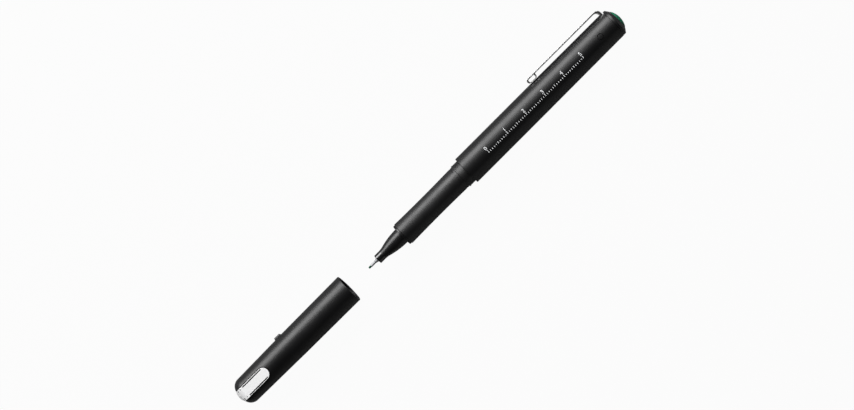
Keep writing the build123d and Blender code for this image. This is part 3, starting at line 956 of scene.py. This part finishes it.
def sweepStrip(shape, outerFace, innerFace, half, roundings):
    # closed strip between two faces, its long edges broken by a rounding
    edge = clipLook["edge"]
    rings = []
    for outer, inner, rounding in zip(outerFace, innerFace, roundings):
        near, far = Vector(outer), Vector(inner)
        inward = (far - near).normalized()
        thick = (far - near).length
        profile = edgeProfile(min(rounding, (thick - 2 * edge) / clipLook["edgeHold"]), half)
        profile += [(thick - d, z) for d, z in reversed(edgeProfile(edge, half))]
        profile += [(d, -z) for d, z in reversed(profile)]
        ring = []
        for depth, z in profile:
            place = near + inward * depth
            ring.append(shape.verts.new((place.x * mm, place.y * mm, z * mm)))
        rings.append(ring)
    for near, far in zip(rings, rings[1:]):
        bridge(shape, near, far)
    shape.faces.new(rings[0])
    shape.faces.new(rings[-1])


shape = bmesh.new()
outerFace = clipFace(
    curlOuter, clipLook["curlFlare"], clipLook["curlBend"], loopFace, foldOuter,
    foldOuter, armTop, clipLook["outerBend"], legOuter,
)
innerFace = clipFace(
    curlInner, -clipLook["curlFlare"], clipLook["curlBend"] - clipLook["loopThickness"], loopTop, foldInner,
    foldOuter - clipLook["foldThickness"], armUnder, clipLook["innerBend"], legInner,
)
sweepStrip(shape, outerFace, innerFace, clipHigh.z, [foldRounding(x, y) for x, y in outerFace])
tongueOuter = clipLow.y
tongueInner = tongueOuter + clipLook["tongueThickness"]
hookOuter = legOuter - clipLook["hookInset"]
hookMiddle = (hookOuter - clipLook["tongueBend"], tongueOuter + clipLook["tongueBend"])
tongueEnd = hookOuter - clipLook["tongueReach"]
tongueFaces = []
for depth, level in ((0, tongueOuter), (clipLook["tongueThickness"], tongueInner)):
    hookFace = hookOuter - depth
    face = [(hookFace, legFoot + clipLook["hookOverlap"]), (hookFace, hookMiddle[1] + clipLook["hookAbove"])]
    face += arc(hookMiddle, clipLook["tongueBend"] - depth, 0, -90, count=10)
    face += [(hookMiddle[0] - clipLook["tongueStraight"], level), (tongueEnd, level)]
    tongueFaces.append(face)
sweepStrip(shape, *tongueFaces, clipLook["tongueHalfWidth"], [clipLook["edge"]] * len(tongueFaces[0]))
clip = newPiece("springClip", shape, springSteel)
clip.data.materials.append(shearedSteel)
mattFrom, mattTo = clipLook["mattTilts"]
rubbedTop = (loopTop + clipLook["rubbedBand"]) * mm
for face in clip.data.polygons:
    # tumbling leaves the broken corners matt, and the loop's foot is rubbed matt by cloth
    sideways = abs(face.normal.z)
    onLoop = foldAt * mm < face.center.x < curlFoot * mm and face.center.y < rubbedTop
    rubbed = onLoop and sideways > clipLook["rubbedTilt"]
    face.material_index = 1 if mattFrom < sideways < mattTo or rubbed else 0
keep(clip, "clip", "clip_steel", "clip")


# Cap strap: a flat bar let into the cap, bent down over its closed end

strapLook = {
    "thickness": 0.9,
    "endThickness": 1.15,
    "endRound": 4.2,
    "shoulder": 2.25,
    "outerBend": 3.4,
    "foot": -1.6,
    "narrower": 0.06,
    "edge": 0.06,
    "grooveSpacing": 4.0,
    "grooveWidth": 0.48,
    "grooveDepth": 0.5,
    "grooveEnds": (1.7, 11.35),
    "dents": ((35, 0.75, 0.45), (11, 0.5, 0.2)),
    "dentIn": 0.2,
    "pocketGap": 0.4,
    "gapCloses": 0.85,
    "pocketRoom": 0.02,
    "cutterHeight": 3.0,
    "wallSteepness": 5,
    "row": 0.12,
    "endRows": (0.002, 0.03),
    "rowCounts": (13, 26, 30, 20),
    "legShort": 0.1,
    "column": 0.25,
}
strapHalf = strapHigh.y - strapLook["narrower"]
strapTop = strapHigh.z
strapTurn = strapLook["outerBend"]
strapEdge = strapLook["edge"]
halfGroove = strapLook["grooveWidth"] / 2
strapFlat = strapHigh.x - strapLow.x - strapTurn
strapBend = strapTurn * math.pi / 2
strapLeg = strapTop - strapTurn - strapLook["foot"]
strapLength = strapFlat + strapBend + strapLeg
tipRadius = (strapHalf ** 2 + strapLook["shoulder"] ** 2) / (2 * strapLook["shoulder"])
# each pair of dents has its place, in degrees round the bend, its length and its depth
dents = []
for turn, size, deep in strapLook["dents"]:
    dents.append((strapFlat + strapTurn * math.radians(turn), size, deep))


def bentShare(run):
    return min(1, max(0, (run - strapFlat) / strapBend))


def strapLine(run):
    # place and outward direction on the strap's outer face, run millimetres from its tip
    if run < strapFlat:
        return Vector((strapHigh.x - run, 0, strapTop)), Vector((0, 0, 1))
    turn = min((run - strapFlat) / strapTurn, math.pi / 2)
    out = Vector((-math.sin(turn), 0, math.cos(turn)))
    centre = Vector((strapHigh.x - strapFlat, 0, strapTop - strapTurn))
    past = max(0, run - strapFlat - strapBend)
    return centre + out * strapTurn + Vector((0, 0, -past)), out


def strapEdgeWidth(run, grow):
    # half width of the bar: an arc at the tip, a half circle at the foot
    half = strapHalf + grow * (1 - strapLook["gapCloses"] * bentShare(run))
    fromFoot = strapLength + grow - run
    if fromFoot < half:
        return math.sqrt(max(half ** 2 - (half - fromFoot) ** 2, 1e-6))
    arcRadius = tipRadius + grow
    fromCentre = tipRadius - run
    if run < strapLook["shoulder"]:
        return min(half, math.sqrt(max(arcRadius ** 2 - fromCentre ** 2, 1e-6)))
    return half


def strapDepth(run):
    # the bar is thicker where it is bent down over the end
    return strapLook["thickness"] + bentShare(run) * (strapLook["endThickness"] - strapLook["thickness"])


def strapHeight(run, y):
    # rounded rim, two grooves on the flat and short dents beyond their ends on the bend
    rim = min(strapEdgeWidth(run, 0) - abs(y), run * 2, (strapLength - run) * 2)
    height = 0.0
    if rim < strapEdge:
        short = 1 - max(rim, 0) / strapEdge
        height = -strapEdge * (1 - math.sqrt(max(0.0, 1 - short * short)))
    start, stop = strapLook["grooveEnds"]
    aside = abs(y) - strapLook["grooveSpacing"] / 2
    beyond = max(0, start + halfGroove - run, run - stop + halfGroove)
    marks = [(strapLook["grooveDepth"], beyond, aside)]
    for dentAt, size, deep in dents:
        marks.append((deep, max(0, abs(run - dentAt) - size / 2 + halfGroove), aside + strapLook["dentIn"]))
    for depth, overrun, sideways in marks:
        away = math.hypot(sideways, overrun) / halfGroove
        if away < 1:
            height -= depth * min(1, strapLook["wallSteepness"] * (1 - away))
    return height


def strapSolid(grow, room, top, endRound=None):
    # rows across the bar from tip to foot; top gives the outer face's height
    shape = bmesh.new()
    row = strapLook["row"]
    tipRows, flatRows, bendRows, legRows = strapLook["rowCounts"]
    wallShares = (0, 0.1, 0.2, 0.35, 0.5, 0.75, 1)
    runs = [end - grow for end in strapLook["endRows"]] + [row / 2]
    runs += [row * k for k in range(1, tipRows + 1)]
    for end, inward in zip(strapLook["grooveEnds"], (1, -1)):
        runs += [end + inward * halfGroove * s for s in wallShares]
    first, last = strapLook["grooveEnds"]
    runs += [first + (last - first) * k / flatRows for k in range(1, flatRows)]
    runs += [strapFlat + strapBend * k / bendRows for k in range(bendRows + 1)]
    for dentAt, size, deep in dents:
        for side in (-1, 1):
            runs += [dentAt + side * (size / 2 - halfGroove * s) for s in wallShares]
    legStart = strapFlat + strapBend
    runs += [legStart + (strapLeg - strapLook["legShort"]) * k / legRows for k in range(1, legRows + 1)]
    runs += [strapLength - row / 2] + [strapLength + grow - end for end in strapLook["endRows"]]
    runs = sorted(set(round(r, 3) for r in runs))
    middle = strapLook["grooveSpacing"] / 2
    columns = [strapLook["column"] * k for k in range(6)]
    for aside in (-strapLook["dentIn"], 0):
        for s in (0, 0.3, 0.6, 0.8, 0.9, 1):
            columns += [middle + aside - halfGroove * s, middle + aside + halfGroove * s]
    columns += [strapHalf - strapEdge * s for s in (2, 1, 0.75, 0.42, 0.17, 0)]
    columns = sorted(set(round(c, 3) for c in columns))
    shares = [c / strapHalf for c in columns]
    shares = [-s for s in reversed(shares[1:])] + shares
    outer, inner = [], []
    for run in runs:
        foot, out = strapLine(run)
        wide = strapEdgeWidth(run, grow)
        across = [Vector((0, s * wide, 0)) for s in shares]
        face = []
        for a in across:
            place = foot + a + out * top(run, a.y)
            if endRound:
                # the closed end is rounded in plan, more so as the bar turns down
                place.x += (endRound - math.sqrt(endRound ** 2 - a.y ** 2)) * (1 - out.z)
            face.append(shape.verts.new(place * mm))
        outer.append(face)
        inner.append([shape.verts.new((foot + a - out * (strapDepth(run) + room)) * mm) for a in across])
    last = len(shares) - 1
    for k in range(len(runs) - 1):
        for j in range(last):
            panel = shape.faces.new((outer[k][j], outer[k][j + 1], outer[k + 1][j + 1], outer[k + 1][j]))
            # painted shade: black paint fills what is deeper than the rim's rounding, standing in for the
            # shade in the grooves and dents
            middleRun = (runs[k] + runs[k + 1]) / 2
            middleAcross = (shares[j] + shares[j + 1]) / 2 * strapEdgeWidth(middleRun, grow)
            panel.material_index = 1 if top(middleRun, middleAcross) < -2 * strapEdge else 0
            shape.faces.new((inner[k][j], inner[k + 1][j], inner[k + 1][j + 1], inner[k][j + 1]))
        for side in (0, last):
            shape.faces.new((outer[k][side], outer[k + 1][side], inner[k + 1][side], inner[k][side]))
    for end in (0, len(runs) - 1):
        for j in range(last):
            shape.faces.new((outer[end][j], outer[end][j + 1], inner[end][j + 1], inner[end][j]))
    return shape


strap = newPiece("capStrap", strapSolid(0, 0, strapHeight, strapLook["endRound"]), lacquered)
# the second material is the painted shade in the grooves and dents
strap.data.materials.append(grooveShadePaint)
keep(strap, "cap", "strap_metal", "cap_strap")


# Cap shell with its pocket for the strap, its nub and the inner cap

capLook = {
    "middleRadius": 5.87,
    "endRadius": 5.43,
    "wallDepth": 56.416,
    "corner": 3.7,
    "dome": 11.0,
    "strapProud": 0.1,
    "mouthEdge": 0.14,
    "boreEdge": 0.1,
    "bores": ((4.17, 54.72, 0, 0.2), (5.05, 36.15, 0.05, 0.1), (5.35, 4.36, 0.05, 0.05)),
    "wallBlend": 4.0,
}
mouth = capHigh.x
apex = strapLow.x + capLook["strapProud"]
domeCentre = apex + capLook["dome"]
wallSlope = (capLook["middleRadius"] - capLook["endRadius"]) / (capLook["wallDepth"] / 2)
cornerRadius = capLook["endRadius"] - capLook["corner"]
for k in range(4):
    # the corner's arc touches dome and wall; a few rounds settle its middle
    cornerAlong = domeCentre - math.sqrt((capLook["dome"] - capLook["corner"]) ** 2 - cornerRadius ** 2)
    fromEnd = cornerAlong - mouth + capLook["wallDepth"]
    cornerRadius = capLook["endRadius"] + wallSlope * fromEnd - capLook["corner"]
lean = math.degrees(math.atan2(domeCentre - cornerAlong, cornerRadius))
domeLine = arc((domeCentre, 0), capLook["dome"], 180, 90 + lean, count=16)
cornerLine = arc((cornerAlong, cornerRadius), capLook["corner"], 90 + lean, 90, count=28)
corners = []
boreRadius = 0
for radius, depth, root, edge in capLook["bores"]:
    # the steps of the bore from the closed end, with the roundings of each step's two corners
    corners += [(mouth - depth, boreRadius, root), (mouth - depth, radius, edge)]
    boreRadius = radius
corners += [(mouth, boreRadius, "boreEdge"), (mouth, capHigh.z, "mouthEdge")]
corners += [(mouth - capLook["wallDepth"] / 2, capLook["middleRadius"], "wallBlend"), cornerLine[-1]]
outline = softOutline(capLook, corners) + [Vector(p) for p in reversed(domeLine + cornerLine[1:-1])]
outline[-1] = Vector((apex, 0))
cap = turned("capShell", outline, mattAbs, closed=False, segments=192)
cutAway(cap, strapSolid(
    strapLook["pocketGap"], strapLook["pocketRoom"], lambda run, y: strapLook["cutterHeight"],
))
keep(cap, "cap", "barrel_plastic", "cap_shell")

nubLook = {
    "fromMouth": 30.0,
    "base": 3.5,
    "top": 2.35,
    "backSlope": 0.2,
    "hollow": 0.36,
    "height": 0.75,
    "seatDrop": 0.04,
    "sunk": 0.39,
    "halfWidth": 1.2,
    "upright": 0.2,
    "lean": 0.33,
    "edge": 0.1,
    "edgeFrom": 0.05,
    "sharpDegrees": 35,
}
nubFront = mouth - nubLook["fromMouth"]
nubBack = nubFront - nubLook["base"]
nubSeat = capLook["middleRadius"] - nubLook["seatDrop"]
nubCrest = nubSeat + nubLook["height"]
nubRoot = nubSeat - nubLook["sunk"]
browBack = nubBack + nubLook["backSlope"]
browFront = browBack + nubLook["top"]
profile = bowed((nubFront, nubSeat), (browFront, nubCrest), -nubLook["hollow"], count=8)
profile += [(browBack, nubCrest), (nubBack, nubSeat), (nubBack, nubRoot), (nubFront, nubRoot)]
shape = bmesh.new()
flanks = []
for side in (-1, 1):
    flank = []
    for x, y in profile:
        flank.append(shape.verts.new(Vector((x, y, side * nubLook["halfWidth"])) * mm))
    shape.faces.new(flank)
    flanks.append(flank)
bridge(shape, *flanks)
bmesh.ops.recalc_face_normals(shape, faces=shape.faces)
# the flanks stand upright at the foot and lean in towards the crest
kink = (nubSeat + nubLook["upright"]) * mm
sliceAcross(shape, kink)
for vert in shape.verts:
    share = max(0, (vert.co.y - kink) / (nubCrest * mm - kink))
    vert.co.z -= math.copysign(nubLook["lean"] * share * mm, vert.co.z)
foot = (nubSeat + nubLook["edgeFrom"]) * mm
sharp = math.radians(nubLook["sharpDegrees"])
upper = [e for e in shape.edges if max(v.co.y for v in e.verts) > foot and e.calc_face_angle() > sharp]
bmesh.ops.bevel(shape, geom=upper, offset=nubLook["edge"] * mm, segments=4, profile=0.5, affect="EDGES")
nub = newPiece("capNub", shape, mattAbs)
for face in nub.data.polygons:
    face.use_smooth = False
keep(nub, "cap", "barrel_plastic")

linerLook = {"bore": 3.5, "floor": 0.8, "backEdge": 0.25, "lipEdge": 0.16, "floorRound": 0.7}
outline = softOutline(linerLook, [
    (linerLow.x, 0),
    (linerLow.x, linerHigh.z, "backEdge"),
    (linerHigh.x, linerHigh.z, "lipEdge"),
    (linerHigh.x, "bore", "lipEdge"),
    (linerLow.x + linerLook["floor"], "bore", "floorRound"),
    (linerLow.x + linerLook["floor"], 0),
])
liner = turned("innerCap", outline, polyethylene, closed=False, segments=128)
keep(liner, "cap", "liner_plastic", "inner_cap")

for node, material in (("ink_reservoir", inkStick), ("reservoir_wrap", wrapFilm)):
    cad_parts[node].data.materials.clear()
    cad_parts[node].data.materials.append(material)
print("cap done")


# Floor, lamps and camera

studio = {
    "floorHalf": 3.0,
    "floorTone": "#787878",
    "whiteShare": 0.96,
    "glossShare": 0.06,
    "worldTone": "#FFFFFF",
    "worldLevel": 0.03,
    "floorGap": 0.00002,
    "lamps": (
        ("stripLamp", (1.2, 0.40), (0.06, 0.525, 0.335), 12.3),
        ("fillLamp", (0.5, 0.5), (0.05, -0.75, 0.22), 0.22),
        ("tailLamp", (0.3, 0.3), (0.2, 0.30, 0.62), 0.6),
    ),
}


def directSight(tree):
    # one where the camera looks straight at the surface or through clear film
    rays = addNode(tree, "ShaderNodeLightPath").outputs
    straight, through = rays["Is Camera Ray"], rays["Is Transmission Ray"]
    return rays, addNode(tree, "ShaderNodeMath", {0: straight, 1: through}, operation="MAXIMUM")


def standAt(holder, place, right, up, back):
    turnTo = Matrix((right, up, back)).transposed()
    holder.matrix_world = Matrix.Translation(place) @ turnTo.to_4x4()


floorLevel = -barrelRadius * mm - studio["floorGap"]
reach = studio["floorHalf"]
shape = bmesh.new()
sides = ((-reach, -reach), (reach, -reach), (reach, reach), (-reach, reach))
shape.faces.new([shape.verts.new((x, y, floorLevel)) for x, y in sides])
# studio paper: white to the camera, a plain grey sheet in reflections and in bounced light
paleFloor = bpy.data.materials.new("paleStudioPaper")
paleFloor.use_nodes = True
tree = paleFloor.node_tree
tree.nodes.clear()
add = partial(addNode, tree)
paper = add("ShaderNodeBsdfDiffuse", {"Color": linear(studio["floorTone"])})
glow = add("ShaderNodeEmission", {"Color": linear("#FFFFFF"), "Strength": 1.0})
rays, seen = directSight(tree)
white = add("ShaderNodeMath", {0: seen, 1: studio["whiteShare"]}, operation="MULTIPLY")
glossy = {0: rays["Is Glossy Ray"], 1: studio["glossShare"], 2: white}
share = add("ShaderNodeMath", glossy, operation="MULTIPLY_ADD")
blend = add("ShaderNodeMixShader", {0: share, 1: paper, 2: glow})
add("ShaderNodeOutputMaterial", {"Surface": blend})
floorPiece = newPiece("studioFloor", shape, paleFloor)

world = bpy.data.worlds.new("studioWorld")
bpy.context.scene.world = world
world.use_nodes = True
tree = world.node_tree
tree.nodes.clear()
add = partial(addNode, tree)
rays, seen = directSight(tree)
level = add("ShaderNodeMapRange", {0: seen, 3: studio["worldLevel"], 4: 1.0})
air = add("ShaderNodeBackground", {"Color": linear(studio["worldTone"]), "Strength": level})
add("ShaderNodeOutputWorld", {"Surface": air})

for name, size, place, power in studio["lamps"]:
    lamp = bpy.data.lights.new(name, "AREA")
    lamp.shape = "RECTANGLE"
    lamp.size, lamp.size_y = size
    lamp.energy = power
    # each lamp faces the pen's axis
    back = Vector((0, place[1], place[2])).normalized()
    right = Vector((1, 0, 0))
    standAt(addObject(name, lamp), place, right, back.cross(right), back)

viewpoint = {
    "stand": (0.013, 0.00137, 0.790),
    "centre": (-0.0196, 0.00137, 0.0),
    "pictureUp": (0.70738, 0.70684, 0.0),
    "lens": 88.4,
    "sensor": 36.0,
    "clip": (0.01, 20.0),
}
camera = bpy.data.cameras.new("photoCamera")
camera.lens = viewpoint["lens"]
camera.sensor_width = viewpoint["sensor"]
camera.sensor_fit = "HORIZONTAL"
camera.clip_start, camera.clip_end = viewpoint["clip"]
cameraHolder = addObject("photoCamera", camera)
# it looks straight down, and the lens is shifted to bring the picture's centre to the frame's
back = Vector((0, 0, 1))
right = Vector(viewpoint["pictureUp"]).cross(back).normalized()
up = back.cross(right)
aside = Vector(viewpoint["centre"]) - Vector(viewpoint["stand"])
viewWidth = viewpoint["sensor"] / viewpoint["lens"] * viewpoint["stand"][2]
camera.shift_x = aside.dot(right) / viewWidth
camera.shift_y = aside.dot(up) / viewWidth
standAt(cameraHolder, viewpoint["stand"], right, up, back)
bpy.context.scene.camera = cameraHolder
bpy.context.scene.view_settings.view_transform = "Standard"
print("studio ready")
